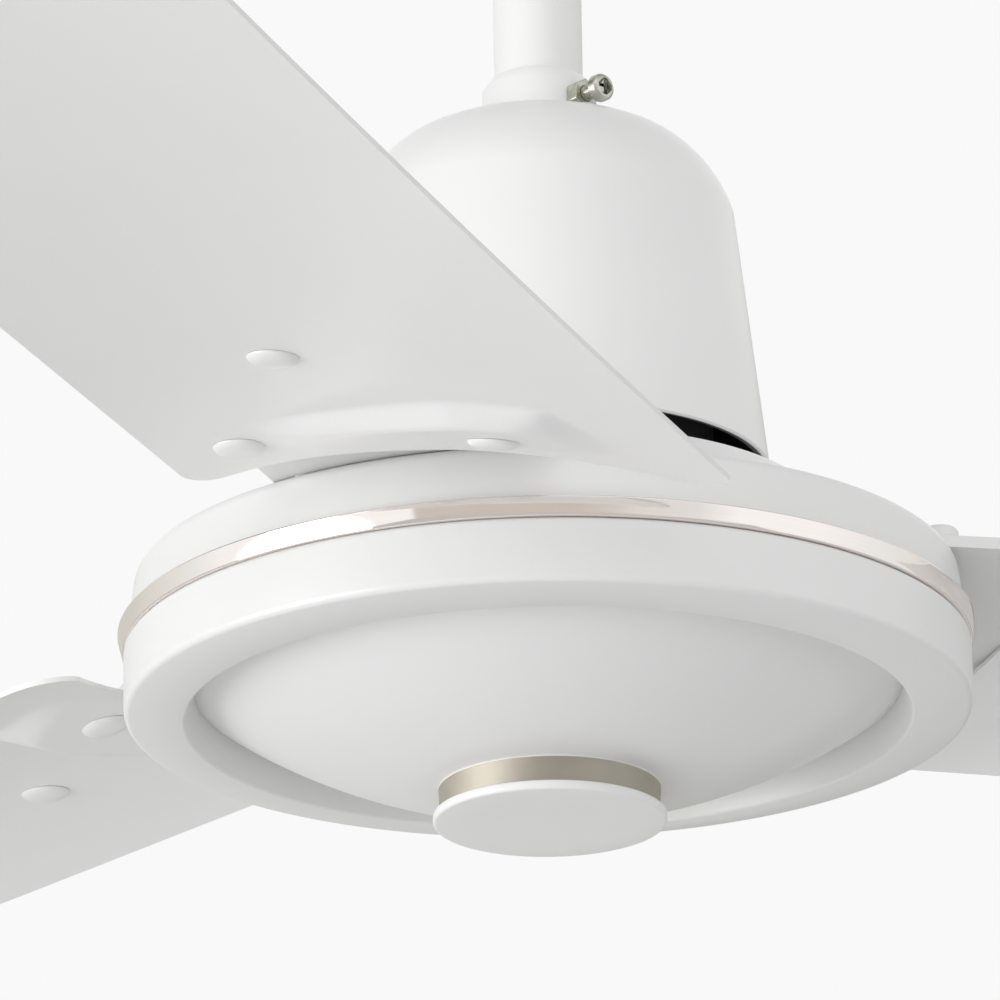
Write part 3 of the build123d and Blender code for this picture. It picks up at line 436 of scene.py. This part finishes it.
def canopyOutline(c):
    # heights from the mouth; a fillet joins the bell to its collar
    outside = [(c["mouth"] - c["mouthBevel"], 0.0)] + canopySkin(c, 0.0)
    top = c["neck"][1]
    collar = [(c["collarRadius"] + aside, top + rise) for aside, rise in c["collarFillet"]]
    collar += [(c["collarRadius"], c["collarTop"] - c["collarChamfer"])]
    collar += [(c["collarRadius"] - c["collarLean"], c["collarTop"]), (c["rodHole"], c["collarTop"])]
    skin = c["wall"] - c["lining"]
    inside = [(c["rodHole"], top - skin)] + canopySkin(c, skin)[:0:-1]
    return outside + collar + inside + [(c["mouth"] - skin, c["mouthEdge"]), (c["mouth"] - skin, 0.0)]


def liningOutline(c):
    # a dark sheet inside the bell: painted shade for the bell's shaded inside
    near, far = c["wall"] - c["lining"] + c["liningGap"], c["wall"]
    top, foot, lip = c["neck"][1], c["liningFoot"], c["mouth"] - c["lip"]
    outer = [(c["mouth"] - near, foot)] + canopySkin(c, near)[1:] + [(c["rodHole"], top - near)]
    inner = [(c["rodHole"], top - far)] + canopySkin(c, far)[:0:-1]
    return outer + inner + [(lip, c["lipHeight"]), (lip, foot)]


rod = {"radius": 11.1, "wall": 2.3}
rodLow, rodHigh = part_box("downrod")


def rodOutline(r, length):
    bore = r["radius"] - r["wall"]
    return [(r["radius"], 0.0), (r["radius"], length), (bore, length), (bore, 0.0)]


mouthLevel = ringTop + canopy["mouthHeight"] * mm
finishPiece(turned(canopyOutline(canopy), mouthLevel, 192), "lowerCanopy", "lower_canopy", 40)
finishPiece(turned(canopyOutline(canopy), ceiling, 192, flip=True), "upperCanopy", "upper_canopy", 40)
# a dark sheet inside the lower bell, painted shade for its shaded inside
lining = turned(liningOutline(canopy), mouthLevel, 128)
finishPiece(lining, "lowerCanopyLining", "lower_canopy", 40, "black_plastic")
rodTube = turned(rodOutline(rod, (rodHigh.z - rodLow.z) / mm), rodLow.z, 96)
softenEdges(finishPiece(rodTube, "downrod-tube", "downrod"), 0.0003)
print("rod and canopies made")


# Blades: a cambered sheet with a pressed seat for the shank, in millimetres from the axis and the ring's top

blade = {
    "sweep": 600.0, "thickness": 1.2, "height": 9.3, "pitch": 0.0736, "camber": 0.00116, "droop": 0.0235,
    "edgeFrom": 90.0, "lowEdge": 82.0, "lowEdgeSlope": 0.0014, "lowEdgeCurve": 4.45e-5,
    "highEdge": 52.4, "highEdgeTip": 48.0,
    "rootArc": 120.5, "lowCorner": 10.0, "highCorner": 6.5, "tipLow": 42.0, "tipHigh": 30.0,
    "seatDepth": 4.6, "seatBand": 7.6, "seatCorner": (160.1, 28.4), "seatFrontSlant": 0.20,
    "seatSideSlant": -0.19, "seatSide": 51.4, "seatSideReach": 155.7, "seatSideLean": 0.30,
    "seatFadeFrom": 119.0, "seatFadeSpan": 31.0, "seatOpenFrom": -27.0, "seatOpenSpan": 20.0,
    "acrossCount": 84, "alongCount": 130, "rows": ((0.0, 0.0), (0.42, 0.13), (0.82, 0.92), (1.0, 1.0)),
}


def ease(t):
    t = min(max(t, 0.0), 1.0)
    return t * t * (3 - 2 * t)


def lowEdge(b, reach):
    along = reach - b["edgeFrom"]
    return b["lowEdge"] + b["lowEdgeSlope"] * along + b["lowEdgeCurve"] * along ** 2


def highEdge(b, reach):
    along = reach - b["edgeFrom"]
    return -b["highEdge"] + (b["highEdge"] - b["highEdgeTip"]) * along / (b["sweep"] - b["edgeFrom"])


def rootReach(b, side):
    # the hollow root: an arc round the fan's axis, with a small rounding at each corner
    for edge, corner in ((b["lowEdge"], b["lowCorner"]), (-b["highEdge"], b["highCorner"])):
        centreSide = edge - math.copysign(corner, edge)
        centreReach = math.sqrt((b["rootArc"] + corner) ** 2 - centreSide ** 2)
        touch = centreSide * b["rootArc"] / (b["rootArc"] + corner)
        if abs(side) >= abs(touch) and side * edge > 0:
            return centreReach - math.sqrt(max(corner ** 2 - (side - centreSide) ** 2, 0.0))
    return math.sqrt(b["rootArc"] ** 2 - side ** 2)


def tipReach(b, side):
    for edge, corner in ((lowEdge(b, b["sweep"]), b["tipLow"]), (-b["highEdgeTip"], b["tipHigh"])):
        centreSide = edge - math.copysign(corner, edge)
        if side * edge > 0 and abs(side) > abs(centreSide):
            return b["sweep"] - corner + math.sqrt(max(corner ** 2 - (side - centreSide) ** 2, 0.0))
    return b["sweep"]


def seatDrop(b, reach, side):
    # how far the pressed seat lies below the plain sheet, inside its two front walls and its flank
    cornerReach, cornerSide = b["seatCorner"]
    front = cornerReach + b["seatFrontSlant"] * (side - cornerSide) - reach
    turnedFront = cornerReach + b["seatSideSlant"] * (side - cornerSide) - reach
    flank = b["seatSide"] + b["seatSideLean"] * (b["seatSideReach"] - reach) - side
    ahead = min(front, turnedFront)
    if min(ahead, flank) <= 0:
        return 0.0
    inward = (ahead ** -2 + flank ** -2) ** -0.5  # the front and the flank meet in a rounding
    wall = min(inward / b["seatBand"], 1.0)
    fadeToRoot = min(max((reach - b["seatFadeFrom"]) / b["seatFadeSpan"], 0.0), 1.0)
    return b["seatDepth"] * wall * fadeToRoot * ease((side - b["seatOpenFrom"]) / b["seatOpenSpan"])


def underside(b, reach, side):
    plain = b["height"] - b["pitch"] * side - b["camber"] * side ** 2
    return plain - b["droop"] * (reach - trimRing["radius"]) - seatDrop(b, reach, side)


def rowSpread(b, u):
    # more rows where the seat and the tip corners need them
    for (u0, w0), (u1, w1) in zip(b["rows"], b["rows"][1:]):
        if u <= u1:
            return w0 + (w1 - w0) * (u - u0) / (u1 - u0)
    return 1.0


def placeAtBlade(bm, name, number):
    # lifts a mesh made along +X to the ring's top and turns it to its blade
    place = Matrix.Translation((0, 0, ringTop)) @ Matrix.Rotation(math.radians(120 * (number - 1)), 4, "Z")
    bmesh.ops.transform(bm, matrix=place, verts=bm.verts)
    return meshFrom(bm, name)


def makeBlade(b, number):
    bm = bmesh.new()
    bmesh.ops.create_grid(bm, x_segments=b["alongCount"], y_segments=b["acrossCount"], size=0.5)
    for vert in bm.verts:
        along, across = rowSpread(b, vert.co.x + 0.5), 0.5 - 0.5 * math.cos(math.pi * (vert.co.y + 0.5))
        sideRoot = -b["highEdge"] + (b["lowEdge"] + b["highEdge"]) * across
        sideTip = -b["highEdgeTip"] + (lowEdge(b, b["sweep"]) + b["highEdgeTip"]) * across
        reach = rootReach(b, sideRoot) * (1 - along) + tipReach(b, sideTip) * along
        side = highEdge(b, reach) * (1 - across) + lowEdge(b, reach) * across
        vert.co = Vector((reach, side, underside(b, reach, side))) * mm
    bmesh.ops.recalc_face_normals(bm, faces=bm.faces)
    if sum(face.normal.z for face in bm.faces) > 0:
        bmesh.ops.reverse_faces(bm, faces=bm.faces)
    bmesh.ops.solidify(bm, geom=bm.faces[:], thickness=b["thickness"] * mm)
    mesh = placeAtBlade(bm, "blade", number)
    finishPiece(mesh, "blade" + str(number), "blade_" + str(number), 50)


rivet = {
    "outerReach": 197.0, "innerReach": 133.0, "innerSide": 32.0, "sink": 0.1, "slopeStep": 2.0,
    "headRadius": 6.3, "headHeight": 1.8, "headFlatness": 3, "headSteepness": 0.55,
    "stem": 2.5, "grip": 4.9, "tailRadius": 4.5, "tailHeight": 1.5, "tailRound": 0.8,
}


def rivetOutline(r):
    # a low head, nearly flat in the middle and steep at its edge
    head = []
    for i in range(13):
        t = math.sin(math.radians(90 * i / 12))
        level = -r["headHeight"] * (1 - t ** r["headFlatness"]) ** r["headSteepness"]
        head.append((max(r["headRadius"] * t, axisRadius), level))
    grip, bend, end = r["grip"], r["tailRound"], r["grip"] + r["tailHeight"]
    tail = arc(r["tailRadius"] - bend, end - bend, bend, 0, 90, 4)
    return head + [(r["stem"], 0.0), (r["stem"], grip), (r["tailRadius"], grip)] + tail + [(axisRadius, end)]


def makeRivets(r, b, number):
    bm = bmesh.new()
    places = [(r["outerReach"], 0.0), (r["innerReach"], -r["innerSide"]), (r["innerReach"], r["innerSide"])]
    step = r["slopeStep"]
    for reach, side in places:
        one = turned(rivetOutline(r), 0.0, 40)
        slopeAlong = (underside(b, reach + step, side) - underside(b, reach - step, side)) / (2 * step)
        slopeAcross = (underside(b, reach, side + step) - underside(b, reach, side - step)) / (2 * step)
        up = Vector((-slopeAlong, -slopeAcross, 1)).normalized()
        lean = Vector((0, 0, 1)).rotation_difference(up).to_matrix().to_4x4()
        spot = Vector((reach, side, underside(b, reach, side) - r["sink"])) * mm
        one.transform(Matrix.Translation(spot) @ lean)
        bm.from_mesh(one)
        bpy.data.meshes.remove(one)
    mesh = placeAtBlade(bm, "rivets", number)
    finishPiece(mesh, "bladeRivets" + str(number), "blade_rivets_" + str(number), 40)


for number in (1, 2, 3):
    makeBlade(blade, number)
    makeRivets(rivet, blade, number)
    merged("blade_shank_" + str(number), "bladeShank" + str(number), 0.0003)
print("blades made")


# Smaller pieces keep the CAD shape, with one clean skin and soft edges of these widths

smallPieces = {
    "shank_screws": 0.0002, "shank_washers": 0.00015,
    "lower_canopy_screw": 0.0002, "lower_canopy_nut": 0.00025,
    "upper_canopy_screw": 0.0002, "upper_canopy_nut": 0.00025,
    "shackle": 0.0004, "hook_reel": 0.0004, "reel_bolt": 0.0003, "reel_nut": 0.0003,
    "rod_top_bolt": 0.0003, "rod_top_nut": 0.0003,
    "wiring_holder": 0.0003, "capacitor": 0.0005, "terminal_block": 0.0003,
}
# the wiring holder is made black as painted shade, to darken the inside of the bell
darkPieces = {"wiring_holder": "black_plastic"}
for node, width in smallPieces.items():
    first, *rest = node.split("_")
    name = first + "".join(word.capitalize() for word in rest) + "Piece"
    merged(node, name, width, darkPieces.get(node))
print("small pieces made")


# Camera at the photograph's angle: metres, the turn in degrees and the other angles in radians

camera = {
    "distance": 2.7932, "below": 0.9150, "turn": 11.46, "pitch": 0.3278, "roll": -0.0145, "yaw": -0.0040,
    "lens": 428.8, "sensorWidth": 36.0, "clipEnd": 60.0,
}
fanTurn = Matrix.Rotation(-math.radians(camera["turn"]), 3, "Z")


def makeCamera(c):
    flat = Vector((math.sin(c["yaw"]), math.cos(c["yaw"]), 0))
    ahead = flat * math.cos(c["pitch"]) + Vector((0, 0, math.sin(c["pitch"])))
    right = Vector((flat.y, -flat.x, 0))
    up = right.cross(ahead)
    sideways = math.cos(c["roll"]) * right + math.sin(c["roll"]) * up
    upwards = -math.sin(c["roll"]) * right + math.cos(c["roll"]) * up
    axes = Matrix((sideways, upwards, -ahead)).transposed()
    data = bpy.data.cameras.new("camera")
    data.lens = c["lens"]
    data.sensor_width = c["sensorWidth"]
    data.clip_end = c["clipEnd"]
    holder = bpy.data.objects.new("camera", data)
    bpy.context.scene.collection.objects.link(holder)
    place = fanTurn @ Vector((0, -c["distance"], -c["below"])) + Vector((0, 0, ringTop))
    holder.matrix_world = Matrix.Translation(place) @ (fanTurn @ axes).to_4x4()
    bpy.context.scene.camera = holder


makeCamera(camera)


# Studio: a pale floor, a white surround and a soft lamp from the left

studio = {
    "floorHeight": -2.7, "floorHalf": 9.0, "floorTone": 0.82, "floorFade": (3.0, 8.0), "background": 0.947,
    "sides": ((0.10, 0.78), (1.48, 1.36), (0.90, 0.38)),  # left and right, front and back, below and above
    "bands": (  # degrees round the fan, 0 behind the camera, and the colour there
        (-180, (0.60, 0.60, 0.56)), (-142, (0.66, 0.66, 0.62)), (-125, (0.75, 0.75, 0.72)),
        (-106, (0.84, 0.86, 0.85)), (-94, (0.97, 0.98, 0.98)), (-35, (0.97, 0.98, 0.98)),
        (-34, (0.61, 0.57, 0.52)), (8, (0.60, 0.56, 0.51)), (18, (0.66, 0.64, 0.60)),
        (24, (0.74, 0.74, 0.71)), (40, (0.78, 0.79, 0.79)), (52, (0.97, 0.99, 0.99)),
        (76, (0.97, 0.98, 0.98)), (98, (0.85, 0.87, 0.87)), (112, (0.80, 0.81, 0.79)),
        (122, (0.66, 0.66, 0.60)), (128, (0.42, 0.41, 0.36)), (150, (0.32, 0.31, 0.26)),
        (180, (0.28, 0.27, 0.22)),
    ),
    "bandStrength": 1.0, "bandLow": (-0.34, -0.27), "bandHigh": (0.34, 0.40),
    "keyEnergy": 67.0, "keySize": 2.4, "keyTurn": -67.0, "keyRise": -10.0, "keyDistance": 3.2,
}


def addNode(nodes, links, kind, *values, operation=None):
    # a node whose first inputs are plain values or other nodes' outputs
    node = nodes.new("ShaderNode" + kind)
    if operation:
        node.operation = operation
    for socket, value in zip(node.inputs, values):
        if isinstance(value, bpy.types.NodeSocket):
            links.new(value, socket)
        else:
            socket.default_value = value
    return node.outputs[0]


def makeFloor(s):
    bm = bmesh.new()
    bmesh.ops.create_grid(bm, x_segments=2, y_segments=2, size=s["floorHalf"])
    bmesh.ops.translate(bm, vec=(0, 0, s["floorHeight"]), verts=bm.verts)
    mesh = meshFrom(bm, "floor")
    floor = bpy.data.objects.new("floor", mesh)
    bpy.context.scene.collection.objects.link(floor)
    finish, nodes, links, shader, coords = startFinish("paleFloor", 0.0, 0.8)
    tone = [s["floorTone"]] * 3
    addTone(nodes, links, addNoise(nodes, links, coords, scale=1.5), shader, [c * 0.98 for c in tone], tone)

    # for the camera alone the floor fades out far away, and is clear from below
    flat = nodes.new("ShaderNodeMapping")
    flat.inputs["Scale"].default_value = (1, 1, 0)
    links.new(coords.outputs["Object"], flat.inputs["Vector"])
    reach = nodes.new("ShaderNodeVectorMath")
    reach.operation = "LENGTH"
    links.new(flat.outputs["Vector"], reach.inputs[0])
    fade = addNode(nodes, links, "MapRange", reach.outputs["Value"], *s["floorFade"])
    underneath = nodes.new("ShaderNodeNewGeometry").outputs["Backfacing"]
    cameraRay = nodes.new("ShaderNodeLightPath").outputs["Is Camera Ray"]
    clearest = addNode(nodes, links, "Math", fade, underneath, operation="MAXIMUM")
    hidden = addNode(nodes, links, "Math", clearest, cameraRay, operation="MULTIPLY")
    clear = addNode(nodes, links, "BsdfTransparent")
    blend = addNode(nodes, links, "MixShader", hidden, shader.outputs[0], clear)
    links.new(blend, nodes["Material Output"].inputs["Surface"])
    mesh.materials.append(finish)


def makeSurround(s):
    # white for the camera; soft light from six sides; a studio's bands for what mirrors it
    world = bpy.data.worlds.new("surround")
    bpy.context.scene.world = world
    world.use_nodes = True
    nodes, links = world.node_tree.nodes, world.node_tree.links
    nodes.clear()

    def calculate(operation, *values):
        return addNode(nodes, links, "Math", *values, operation=operation)

    coords = nodes.new("ShaderNodeTexCoord")
    turn = nodes.new("ShaderNodeMapping")
    turn.inputs["Rotation"].default_value = (0, 0, math.radians(camera["turn"]))
    split = nodes.new("ShaderNodeSeparateXYZ")
    links.new(coords.outputs["Generated"], turn.inputs["Vector"])
    links.new(turn.outputs["Vector"], split.inputs["Vector"])
    total = 0.0
    for axis, (minus, plus) in zip("XYZ", s["sides"]):
        along = split.outputs[axis]
        side = calculate("GREATER_THAN", along, 0.0)
        face = calculate("MULTIPLY_ADD", side, plus - minus, minus)
        total = calculate("MULTIPLY_ADD", calculate("MULTIPLY", along, along), face, total)
    ambient = addNode(nodes, links, "Background", (1, 1, 1, 1), total)

    turnRound = calculate("ARCTAN2", split.outputs["X"], calculate("MULTIPLY", split.outputs["Y"], -1.0))
    ramp = nodes.new("ShaderNodeValToRGB")
    stops = ramp.color_ramp.elements
    stops.remove(stops[1])
    stops[0].color = (*s["bands"][0][1], 1)
    for place, colour in s["bands"][1:]:
        stops.new(0.5 + place / 360.0).color = (*colour, 1)
    links.new(calculate("MULTIPLY_ADD", turnRound, 1 / (2 * math.pi), 0.5), ramp.inputs["Fac"])
    banded = addNode(nodes, links, "Background", ramp.outputs["Color"], s["bandStrength"])

    low = addNode(nodes, links, "MapRange", split.outputs["Z"], *s["bandLow"])
    high = addNode(nodes, links, "MapRange", split.outputs["Z"], *s["bandHigh"])
    inBand = calculate("MULTIPLY", low, calculate("SUBTRACT", 1.0, high))
    paths = nodes.new("ShaderNodeLightPath")
    mirrored = calculate("MULTIPLY", paths.outputs["Is Glossy Ray"], inBand)
    lit = addNode(nodes, links, "MixShader", mirrored, ambient, banded)
    white = addNode(nodes, links, "Background", (1, 1, 1, 1), s["background"])
    seen = addNode(nodes, links, "MixShader", paths.outputs["Is Camera Ray"], lit, white)
    links.new(seen, nodes.new("ShaderNodeOutputWorld").inputs["Surface"])


def makeKeyLamp(s):
    data = bpy.data.lights.new("keyLamp", "AREA")
    data.shape = "DISK"
    data.size = s["keySize"]
    data.energy = s["keyEnergy"]
    lamp = bpy.data.objects.new("keyLamp", data)
    bpy.context.scene.collection.objects.link(lamp)
    target = Vector((0, 0, ringTop))
    around, rise = math.radians(s["keyTurn"]), math.radians(s["keyRise"])
    towards = Vector((math.sin(around) * math.cos(rise), -math.cos(around) * math.cos(rise), math.sin(rise)))
    lamp.location = target + fanTurn @ towards * s["keyDistance"]
    lamp.rotation_mode = "QUATERNION"
    lamp.rotation_quaternion = (target - lamp.location).to_track_quat("-Z", "Y")


makeFloor(studio)
makeSurround(studio)
makeKeyLamp(studio)
bpy.context.scene.view_settings.view_transform = "Standard"
print("studio made")
